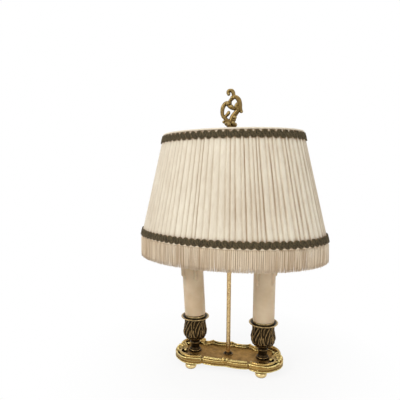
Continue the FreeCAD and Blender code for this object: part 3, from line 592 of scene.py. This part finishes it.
def smooth_lining():
    rows = [shade_row(LINING_SIDES, SHADE_BOTTOM + SHADE_RISE * level / LINING_LEVELS, LINING_INSET)
            for level in range(LINING_LEVELS + 1)]
    shape = Shape()
    shape.grid(rows, around=True)
    piece = shape.make("smooth_lining", "shade", lining_cloth)
    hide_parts("shade_lining")


def rolled_edges():
    """The cloth turned over the wire above and below."""
    shape = Shape()
    for height in (SHADE_TOP + 0.1, SHADE_BOTTOM + 0.4):
        path = [on_shade(k / ROUND_STEPS, height, 3.4 + 0.3 * math.sin(k * 0.9))
                for k in range(ROUND_STEPS)]
        shape.tube(path, 1.5, 8, closed=True)
    shape.make("rolled_edges", "shade", silk)


pleated_cover()
smooth_lining()
rolled_edges()


# Looped gimp braid and fringe

LOOP_STEPS = 18
LOOP_REACH = 3.7
WEAVE_STEPS = 12
WEAVE_TURN = 1.05

YARNS = 1180
BUNDLE = 4
YARN_STEPS = 5
YARN_LENGTH = 27.0
YARN_START = 1.4
STRAY_SHARE = 0.02
SHORT_SHARE = 0.01


def gimp(name, node_name, middle, loops):
    """Strands that cross in the middle and loop at both edges, over a flat braid."""
    shape = Shape()
    for phase in (0.0, math.pi):
        for lane in (-0.55, 0.55):
            path = []
            for step in range(loops * LOOP_STEPS):
                turn = CIRCLE * step / LOOP_STEPS + phase
                share = (step / LOOP_STEPS + phase / CIRCLE - 0.2 * math.sin(2 * turn)) / loops
                reach = LOOP_REACH + lane
                height = middle + reach * math.sin(turn) * (1 + 0.04 * math.sin(turn * 0.37))
                over = 0.75 + 0.45 * math.cos(2 * turn + phase)
                path.append(on_shade(share, height, over))
            shape.tube(path, 0.5, 6, closed=True)
    steps = loops * WEAVE_STEPS
    for offset, phase in ((-1.5, 0.0), (0.0, 2.1), (1.5, 4.2)):
        path = []
        for step in range(steps):
            turn = step * WEAVE_TURN + phase
            path.append(on_shade(step / steps, middle + offset + 0.5 * math.sin(turn),
                                 0.9 + 0.4 * math.cos(turn)))
        shape.tube(path, 0.62, 6, closed=True)
    rows = [shade_row(ROUND_STEPS, middle + offset, inset)
            for offset, inset in ((-2.6, 1.9), (-2.4, 1.3), (2.4, 1.3), (2.6, 1.9))]
    shape.grid(rows, around=True, along=True)
    piece = shape.make(name, "shade", braid_yarn)
    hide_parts(node_name)


def fringe():
    """Cut yarns hung side by side from a sewn heading, with a few gaps and strays."""
    shape = Shape()
    for layer, inset in ((0, 2.0), (1, 2.9)):
        for yarn in range(YARNS):
            bundle = yarn // BUNDLE
            pull = (bundle * BUNDLE + 1.5 - yarn) * 0.3
            share = (yarn + pull + 2.0 * layer + random.uniform(-0.25, 0.25)) / YARNS
            back = 0.9 * noise.noise(Vector((bundle * 0.73, layer * 7.0, 4.0)))
            clump = noise.noise(Vector((share * 150, layer * 3.0, 0.0)))
            lean = clump * 0.0011 + random.uniform(-1, 1) * 0.00035
            length = YARN_LENGTH + clump * 1.1 + back * 0.8 + random.uniform(-0.6, 0.4)
            length -= 1.6 * on_shade(share, SHADE_BOTTOM, 0).x / LONG
            if random.random() < STRAY_SHARE:
                lean *= 3.2
            if random.random() < SHORT_SHARE:
                length -= random.uniform(3, 9)
            bow = random.uniform(-0.3, 0.5)
            path = []
            for step in range(YARN_STEPS + 1):
                t = step / YARN_STEPS
                height = SHADE_BOTTOM + YARN_START - (length + YARN_START) * t
                point = on_shade(share + lean * t * t, max(height, SHADE_BOTTOM - 3),
                                 inset - (bow + back) * t)
                path.append(Vector((point.x, point.y, height)))
            radius = random.uniform(0.3, 0.42)
            shape.tube(path, [radius * swell for swell in (0.9, 1, 1, 1, 0.95, 0.5)], 5)
    shape.tube(shade_row(ROUND_STEPS, SHADE_BOTTOM + 0.6, 2.6), 1.2, 8, closed=True)
    piece = shape.make("hanging_fringe", "shade", fringe_yarn)
    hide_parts("fringe")


gimp("upper_gimp", "top_gimp", 315.9, 60)
gimp("lower_gimp", "bottom_gimp", 191.6, 84)
fringe()


# Candle tubes with run wax

CANDLE_SIDES = 120
CANDLE_LEVELS = 90
DRIP_DEPTH = 2.1
DRIP_END = 2.2
RIM_DEPTH = 0.9


def wax_relief(angle, height, drips, seed):
    """How far the wax stands proud: a soft wave, run drips and a rim at the top."""
    place = Vector((math.cos(angle) * 1.6, math.sin(angle) * 1.6, height * 0.03 + seed))
    wave = noise.noise(place) * 0.14
    below = CANDLE_LENGTH - height
    lift = 0.0
    for bearing, drop in drips:
        across = math.radians((math.degrees(angle) - bearing + 180) % 360 - 180) * CANDLE_RADIUS
        wide = 1.25 + 0.75 * math.exp(-((below - drop) / 3.5) ** 2) + 2.2 * math.exp(-below / 7.0)
        away = (across / wide) ** 2 + (max(0.0, below - drop) / DRIP_END) ** 2
        if away < 1:
            lift = max(lift, DRIP_DEPTH * math.sqrt(1 - away))
    rim = RIM_DEPTH * math.exp(-((below - 2.2) / 2.4) ** 2)
    return wave + max(lift, rim)


def candle(side_name, side, lean, drips):
    """A hollow tube on its pan, with each drip as (bearing in degrees, length)."""
    seat = CANDLE_SEAT + math.sin(abs(lean)) * CANDLE_RADIUS

    def at(radius, angle, height):
        x, y = radius * math.cos(angle), radius * math.sin(angle)
        return Vector((side * CANDLE_X + x * math.cos(lean) + height * math.sin(lean), y,
                       seat + height * math.cos(lean) - x * math.sin(lean)))

    rows = []
    for level in range(CANDLE_LEVELS + 1):
        height = CANDLE_LENGTH * level / CANDLE_LEVELS
        rows.append([at(CANDLE_RADIUS - 0.1 + wax_relief(angle, height, drips, side * 5), angle, height)
                     for angle in ring_angles(CANDLE_SIDES)])
    for height in (CANDLE_LENGTH, CANDLE_LENGTH * 0.5, 0.0):
        rows.append([at(CANDLE_RADIUS - 1.6, angle, height) for angle in ring_angles(CANDLE_SIDES)])
    shape = Shape()
    shape.grid(rows, around=True, along=True)
    piece = shape.make(f"wax_candle_{side_name}", "stand", wax)
    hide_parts(f"candle_{side_name}")


candle("left", -1, -LEAN, [(188, 42), (228, 43), (300, 44), (262, 22), (20, 30), (95, 38), (140, 18)])
candle("right", 1, 0.0, [(238, 46), (322, 44), (282, 24), (195, 20), (10, 34), (80, 26), (130, 40)])


# Acanthus cups

CUP_SIDES = 320
CUP_LEVELS = 150
CUP_LIMIT = 17.6
LEAVES = 6
PETALS = 12
LEAF_START = 0.31
LEAF_DEPTH = 1.15

# The cup's plain outline, as (share of its height, radius)
CUP_OUTLINE = [(0.0, 8.6), (0.05, 8.6), (0.075, 7.2), (0.13, 6.2), (0.22, 5.9), (0.26, 7.3), (0.3, 6.4),
               (0.335, 7.6), (0.38, 10.6), (0.44, 13.8), (0.52, 15.9), (0.6, 16.1), (0.72, 14.9),
               (0.86, 14.1), (1.0, 14.4)]


def cup_radius(level):
    """The radius of the cup's plain outline, at a share of its height."""
    low, high = next(pair for pair in zip(CUP_OUTLINE, CUP_OUTLINE[1:]) if level <= pair[1][0])
    t = (level - low[0]) / (high[0] - low[0])
    return low[1] + (high[1] - low[1]) * t * t * (3 - 2 * t)


def lobe(across, along, width, length):
    """The height of a rounded drop, from its middle."""
    return math.sqrt(max(0.0, 1 - (across / width) ** 2 - (along / length) ** 2))


def leaf_relief(angle, level):
    """Swirling acanthus leaves: fans of ridges, curled edges, drops between and petals below."""
    if level < LEAF_START:
        return 0.0
    t = (level - LEAF_START) / (1 - LEAF_START)
    across = (angle + 0.35 * math.sin(t * 2.6)) / (CIRCLE / LEAVES) % 1.0 - 0.5
    fan_across, fan_along = across + 0.16, t - 0.6
    ridges = math.sin(fan_across * 19 - fan_along * 17 + 5.0 * fan_along * fan_along)
    curl_line = 0.27 + 0.1 * math.sin(t * 5.2)
    petal_across = (angle / (CIRCLE / PETALS)) % 1.0 - 0.5
    height = max(lobe(fan_across, fan_along, 0.3, 0.4) * (0.9 + 0.8 * ridges),
                 1.35 * math.exp(-((across - curl_line) / 0.05) ** 2) * min(1.0, t * 4),
                 1.5 * lobe(across - 0.16 - 0.1 * t, t - 0.42, 0.07, 0.2),
                 1.5 * lobe(across - 0.42, t - 0.36, 0.08, 0.22),
                 1.1 * lobe(across - 0.44, t - 0.8, 0.12, 0.16),
                 1.4 * lobe(petal_across, t - 0.15, 0.48, 0.16))
    fade = min(1.0, (1.0 - t) * 9 + 0.15)
    return height * fade - 0.25


def cup(side_name, side):
    low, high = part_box(f"cup_{side_name}")
    bottom, top = low.z / MM, high.z / MM
    middle = side * CANDLE_X
    rows = []
    for step in range(CUP_LEVELS + 1):
        level = step / CUP_LEVELS
        height = bottom + (top - bottom) * level
        row = []
        for angle in ring_angles(CUP_SIDES):
            radius = min(cup_radius(level) + LEAF_DEPTH * leaf_relief(angle, level), CUP_LIMIT)
            row.append(Vector((middle + radius * math.cos(angle), radius * math.sin(angle), height)))
        rows.append(row)
    for radius, height in ((11.6, top), (11.6, top - 17.0), (4.3, top - 17.4), (4.3, bottom)):
        rows.append(circle(radius, height, CUP_SIDES, middle))
    shape = Shape()
    shape.grid(rows, around=True, along=True)
    piece = shape.make(f"acanthus_cup_{side_name}", "stand", cup_brass)
    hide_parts(f"cup_{side_name}")


cup("left", -1)
cup("right", 1)


# Rocaille tray: the CAD casting with its chased ornament, melted into one skin

TRAY_TOP = 17.8
END_GROUND = 15.7
MIDDLE_GROUND = 16.3
GROUND_CHANGE = 33.0
GROUND_RELIEF = 0.15
TRAY_VOXEL = 0.42

# Bars of the right half, as (x, y, height above the tray's top, radius)
CRESCENT = [(35.5, -20.6, 0.0, 1.0), (35.4, -24.6, 0.2, 1.9), (41.0, -26.4, 0.6, 2.7),
            (50.0, -26.9, 0.8, 3.1), (58.0, -24.6, 0.6, 2.7), (64.2, -19.4, 0.3, 2.1),
            (67.0, -12.8, 0.2, 1.7), (64.8, -8.0, 0.0, 1.5), (61.0, -7.6, 0.0, 1.5),
            (59.6, -10.6, 0.0, 1.9)]
EDGE_LINE = [(33.6, -28.3, -0.4, 0.9), (42.0, -30.4, -0.4, 0.9), (51.0, -30.9, -0.4, 0.9),
             (60.0, -29.0, -0.4, 0.9), (68.0, -22.6, -0.4, 0.9), (72.4, -15.0, -0.4, 0.9)]
RAIL = [(30.4, -24.6, -0.2, 0.9), (15.0, -25.9, -0.2, 0.9), (4.5, -26.0, 0.0, 0.9)]
INNER_RAIL = [(30.4, -21.6, -0.6, 0.7), (15.0, -22.8, -0.6, 0.7), (5.0, -22.6, -0.4, 0.8)]
BACK = [(0.0, 30.0, 0.4, 1.5), (2.6, 29.4, 0.2, 1.2), (8.0, 26.4, 0.0, 1.2), (17.0, 25.4, 0.0, 1.3),
        (24.5, 27.0, 0.0, 1.3), (29.0, 30.0, 0.2, 1.3)]
CORNER = [(28.0, 29.0, 0.2, 1.4), (33.0, 24.2, 0.0, 1.6), (39.0, 23.2, 0.0, 1.8), (45.0, 26.6, 0.4, 2.0)]
CURL = [(72.0, 12.0, 0.0, 1.6), (69.0, 21.0, 0.0, 2.0), (62.0, 27.6, 0.4, 2.4), (54.0, 30.0, 0.6, 2.4),
        (48.0, 28.0, 0.6, 2.0), (47.0, 23.5, 0.2, 1.6), (51.0, 21.8, 0.0, 1.4)]


def laid(path, across):
    """A path on one half of the tray, lifted onto its top."""
    return [(x * across, y, TRAY_TOP + z, radius) for x, y, z, radius in path]


def front_border(shape, across):
    """Crescents and rails along the front edge, with a row of beads."""
    for path in (CRESCENT, EDGE_LINE, RAIL, INNER_RAIL):
        shape.bar(laid(path, across))
    shape.ball((across * 2.7, -24.4, TRAY_TOP + 0.4), 2.6, (1.1, 1, 1))
    shape.ball((across * 60.6, -10.6, TRAY_TOP + 0.5), 2.1)
    for bead in range(5):
        shape.ball((across * (36.2 + bead * 1.8), -23.0 + bead * 0.4, 15.8), 0.9)


def end_shell(shape, across):
    """Seven rays spread towards the tray's end, each with a bead at its tip."""
    for ray in range(-3, 4):
        angle = math.radians(ray * 19)
        start = Vector((across * 61.5, ray * 0.9, 15.4))
        tip = Vector((across * (61.5 + 12.6 * math.cos(angle)), 12.6 * math.sin(angle) * 1.25, 17.5))
        middle = (start + tip) / 2 + Vector((0, 0, 0.7))
        shape.tube([start, middle, tip], [0.8, 1.3, 1.9], 8)
        shape.ball(tip, 2.0)


def back_rim(shape, across):
    """Half of the bracketed back rim, with its wall, its lower step and its corner shell."""
    for path in (BACK, CORNER, CURL):
        shape.bar(laid(path, across), weight=1.15)
    for path in (BACK, CORNER):
        line = smooth_path(laid(path, across), 6)
        for down in (2.2, 4.6, 7.0, 9.4):
            shape.tube([(x, y - 0.2, z - down) for x, y, z, _ in line], 1.7, 8)
        shape.tube([(x, y - 3.5, z - 1.5) for x, y, z, _ in line], 1.15, 8)
    shape.ball((across * 42.0, 28.4, TRAY_TOP + 0.9), 2.8)
    shape.ball((across * 51.5, 23.2, TRAY_TOP + 0.4), 1.9)
    shape.ball((across * 62.5, 14.5, 16.4), 1.7)
    centre = Vector((across * 47.0, 29.0, TRAY_TOP + 0.6))
    for ray in range(4):
        angle = math.radians(60 + ray * 28)
        tip = centre + Vector((-across * 6.0 * math.cos(angle), 3.2 * math.sin(angle), 0.5))
        shape.tube([centre, tip], [1.2, 1.5], 8)


def held(value, limit):
    return max(-limit, min(limit, value))


def tray():
    shape = Shape()
    copy_points(shape, "base_plate")
    for index, point in enumerate(shape.points):
        ground = END_GROUND if abs(point.x) > GROUND_CHANGE else MIDDLE_GROUND
        if point.z > ground:
            shape.points[index] = Vector((point.x, point.y,
                                          ground + (point.z - ground) * GROUND_RELIEF))
    for across in (-1, 1):
        front_border(shape, across)
        end_shell(shape, across)
    for across in (-1, 1):
        back_rim(shape, across)
    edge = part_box("base_plate")[1] / MM + Vector((-0.2, -0.2, 1.2))
    shape.points = [Vector((held(x, edge.x), held(y, edge.y), min(edge.z, z)))
                    for x, y, z in shape.points]
    piece = shape.make("cast_tray", "stand", tray_brass)
    cast(piece, TRAY_VOXEL, 2)
    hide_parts("base_plate")


tray()


# Finial: openwork scrolls, read as points across the front

FINIAL_BAR_SWELL = 1.36
FINIAL_BALL_SWELL = 1.2
FINIAL_VOXEL = 0.3

# The left scroll is drawn in by this share, above this height
LEFT_SCROLL_WIDTH = 0.84
LEFT_SCROLL_START = 340

# Bars as (x, y, height, radius) points
FINIAL_BARS = [
    [(-4.0, 0, 373.4, 1.4), (-5.2, 0.2, 375.6, 1.8), (-3.0, 0.3, 377.6, 1.9), (0.0, 0.2, 377.9, 1.9),
     (2.5, 0, 375.5, 1.9), (3.4, 0, 371.2, 1.8), (2.1, 0.4, 368.2, 1.8), (-1.3, 0.6, 365.2, 1.9),
     (-2.6, 0.4, 361.6, 2.3)],
    [(0.4, -0.6, 365.8, 1.6), (2.8, -0.8, 368.6, 1.9), (6.6, -0.8, 369.0, 2.0), (10.2, -0.5, 365.4, 2.3),
     (11.6, 0, 360.0, 2.3), (12.0, 0.3, 355.2, 2.1), (13.2, 0.2, 351.4, 1.7)],
    [(-4.6, 0.6, 362.8, 2.0), (-9.6, 0.8, 361.0, 2.3), (-12.8, 0.4, 356.6, 2.4), (-13.7, 0, 351.4, 2.3),
     (-12.8, -0.4, 346.7, 2.1), (-10.0, -0.6, 343.7, 2.0), (-7.0, -0.4, 341.2, 2.0),
     (-3.6, 0, 338.6, 2.3), (-1.0, 0, 335.4, 2.7)],
    [(-12.6, -0.4, 348.0, 1.9), (-13.7, -0.2, 344.0, 1.0)],
    [(-10.4, -0.8, 344.0, 1.5), (-6.6, -1.0, 346.4, 1.7), (-3.6, -0.8, 349.2, 2.1)],
    [(-5.8, 0.2, 341.0, 1.4), (-9.0, 0.4, 338.7, 1.4)],
    [(-4.8, 0.2, 359.6, 1.6), (-2.0, -0.6, 357.4, 1.8), (2.0, -0.6, 355.6, 1.9), (6.0, 0, 354.6, 1.8),
     (9.4, 0.2, 354.4, 2.0)],
    [(9.2, -1.0, 353.6, 1.7), (7.0, -1.2, 357.6, 1.9), (9.0, -0.8, 361.4, 1.5)],
    [(1.2, 0, 335.0, 3.2), (0.8, 0.2, 340.6, 2.7), (3.6, 0.2, 346.0, 2.5), (7.2, 0, 350.0, 2.5),
     (10.2, 0.2, 354.0, 2.2), (11.6, 0.2, 358.0, 2.0)],
    [(-3.4, -4.6, 337.4, 1.2), (-1.2, -5.6, 332.6, 1.5), (3.2, -5.4, 328.8, 1.7)],
    [(3.6, 4.4, 337.0, 1.2), (1.0, 5.6, 332.4, 1.5), (-3.0, 5.4, 328.8, 1.7)],
]
FINIAL_BALLS = [((13.6, 0.2, 351.0), 2.0), ((-3.2, -0.8, 349.8), 2.2), ((-9.2, 0.4, 338.5), 1.9),
                ((-4.6, -0.6, 361.3), 3.0), ((0.8, -0.8, 357.4), 2.4), ((5.4, -1.2, 343.6), 2.3),
                ((6.6, 1.2, 347.4), 1.9), ((-3.9, 0.2, 373.8), 2.3), ((1.4, -1.4, 368.4), 2.0),
                ((-1.6, 0.8, 362.0), 2.4), ((4.6, -0.4, 340.4), 2.0)]
FINIAL_CORE = [(0.1, 327.6), (4.6, 327.6), (5.2, 331.0), (5.6, 334.0), (4.4, 338.0), (0.1, 340.0)]


def finial():
    low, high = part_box("finial")
    shape = Shape()
    for bar in FINIAL_BARS:
        shape.bar(bar, FINIAL_BAR_SWELL, steps=8, sides=12)
    for centre, radius in FINIAL_BALLS:
        shape.ball(centre, radius * FINIAL_BALL_SWELL)
    # Two rows of knobs round the turned base
    for step in range(6):
        angle = CIRCLE * (step + 0.25) / 6
        shape.ball((5.4 * math.cos(angle), 5.4 * math.sin(angle), 334.4 + (step % 2) * 1.6), 3.1)
        angle += math.pi / 6
        shape.ball((5.0 * math.cos(angle), 5.0 * math.sin(angle), 328.6), 2.7, (1, 1, 0.8))
    shape.capped([circle(radius, height, 64) for radius, height in FINIAL_CORE])
    foot = low.z / MM + 0.1
    sleeve = [(3.2, foot), (6.3, foot), (6.3, 321.4), (5.0, 324.0), (5.0, 328.6), (3.2, 328.6)]
    shape.grid([circle(radius, height, 48) for radius, height in sleeve], around=True, along=True)
    top = high.z / MM - 0.1
    for index, (x, y, z) in enumerate(shape.points):
        width = LEFT_SCROLL_WIDTH if x < 0 and z > LEFT_SCROLL_START else 1.0
        shape.points[index] = Vector((x * width, y, min(z, top)))
    piece = shape.make("rocaille_finial", "finial", finial_brass)
    cast(piece, FINIAL_VOXEL, 3)
    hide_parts("finial")


finial()


# Camera as the photograph was taken

scene = bpy.context.scene
camera_data = bpy.data.cameras.new("camera")
camera_data.lens = 33.645
camera_data.sensor_width = 36.0
camera_data.shift_y = 0.0695
camera = bpy.data.objects.new("camera", camera_data)
scene.collection.objects.link(camera)
camera.location = (0.0854, -0.5005, 0.2707)
camera.rotation_euler = (math.radians(90 - 8.22), 0.0, math.radians(14.255))
scene.camera = camera


# White studio: seen, mirrored and transmitted rays meet plain white, other light an uneven white room

def plain_rays(tree):
    """1 for camera, glossy and transmitted rays, 0 for the others."""
    rays = add(tree, "ShaderNodeLightPath").outputs
    seen = maths(tree, "MAXIMUM", rays["Is Camera Ray"], rays["Is Glossy Ray"])
    return maths(tree, "MAXIMUM", seen, rays["Is Transmission Ray"])


scene.view_settings.view_transform = "Standard"
scene.view_settings.look = "None"
world = bpy.data.worlds.new("white room")
scene.world = world
world.use_nodes = True
room_tree = world.node_tree
background = room_tree.nodes["Background"]
background.inputs["Color"].default_value = (1.0, 1.0, 1.0, 1.0)
toward = add(room_tree, "ShaderNodeTexCoord").outputs["Generated"]
room = spread(room_tree, clouds(room_tree, toward, 1.7, 0.0), 0.42, 0.58, 0.12, 0.95)
shown = add(room_tree, "ShaderNodeMix", {"Factor": plain_rays(room_tree), "A": room, "B": 1.0},
            data_type="FLOAT")
room_tree.links.new(shown.outputs[0], background.inputs["Strength"])

# White paper, which keeps a soft shadow near the lamp and fades to plain white further out
floor_mesh = bpy.data.meshes.new("floor")
floor_mesh.from_pydata([(-4, -4, 0), (4, -4, 0), (4, 4, 0), (-4, 4, 0)], [], [(0, 1, 2, 3)])
floor = bpy.data.objects.new("floor", floor_mesh)
scene.collection.objects.link(floor)
floor_material = bpy.data.materials.new("white paper floor")
floor_material.use_nodes = True
floor_mesh.materials.append(floor_material)
floor_tree = floor_material.node_tree
floor_shader = floor_tree.nodes["Principled BSDF"]
fibres = add(floor_tree, "ShaderNodeTexNoise", {"Scale": 300.0}).outputs["Fac"]
paper = blend(floor_tree, fibres, (0.96, 0.96, 0.96, 1.0), (0.98, 0.98, 0.98, 1.0))
fill(floor_tree, floor_shader, "Base Color", paper)
fill(floor_tree, floor_shader, "Roughness", 0.9)
fill(floor_tree, floor_shader, "Specular IOR Level", 0.0)
away = add(floor_tree, "ShaderNodeVectorMath", {0: object_place(floor_tree)},
           operation="LENGTH").outputs["Value"]
plain_white = add(floor_tree, "ShaderNodeEmission", {"Strength": 1.0}).outputs[0]
fade = maths(floor_tree, "MULTIPLY", spread(floor_tree, away, 0.09, 0.25, 0.86, 1.0),
             plain_rays(floor_tree))
floor_mix = add(floor_tree, "ShaderNodeMixShader", {0: fade, 1: floor_shader.outputs[0], 2: plain_white})
floor_tree.links.new(floor_mix.outputs[0], floor_tree.nodes["Material Output"].inputs["Surface"])


def window(name, place, target, size, power, colour=(1.0, 1.0, 1.0)):
    """A soft rectangular light, aimed at a target."""
    data = bpy.data.lights.new(name, "AREA")
    data.shape = "RECTANGLE"
    data.size = size[0]
    data.size_y = size[1]
    data.energy = power
    data.color = colour
    lamp = bpy.data.objects.new(name, data)
    scene.collection.objects.link(lamp)
    lamp.location = place
    aim = Vector(target) - Vector(place)
    lamp.rotation_euler = aim.to_track_quat("-Z", "Y").to_euler()


window("left window", (-1.0, -1.1, 1.3), (0, 0, 0.2), (0.9, 0.9), power=13.0, colour=(1.0, 0.98, 0.95))
window("right fill", (1.3, -0.9, 0.7), (0, 0, 0.18), (0.7, 1.0), power=3.0)
window("top light", (0.0, 0.2, 1.6), (0, 0, 0.1), (1.4, 1.4), power=6.0)
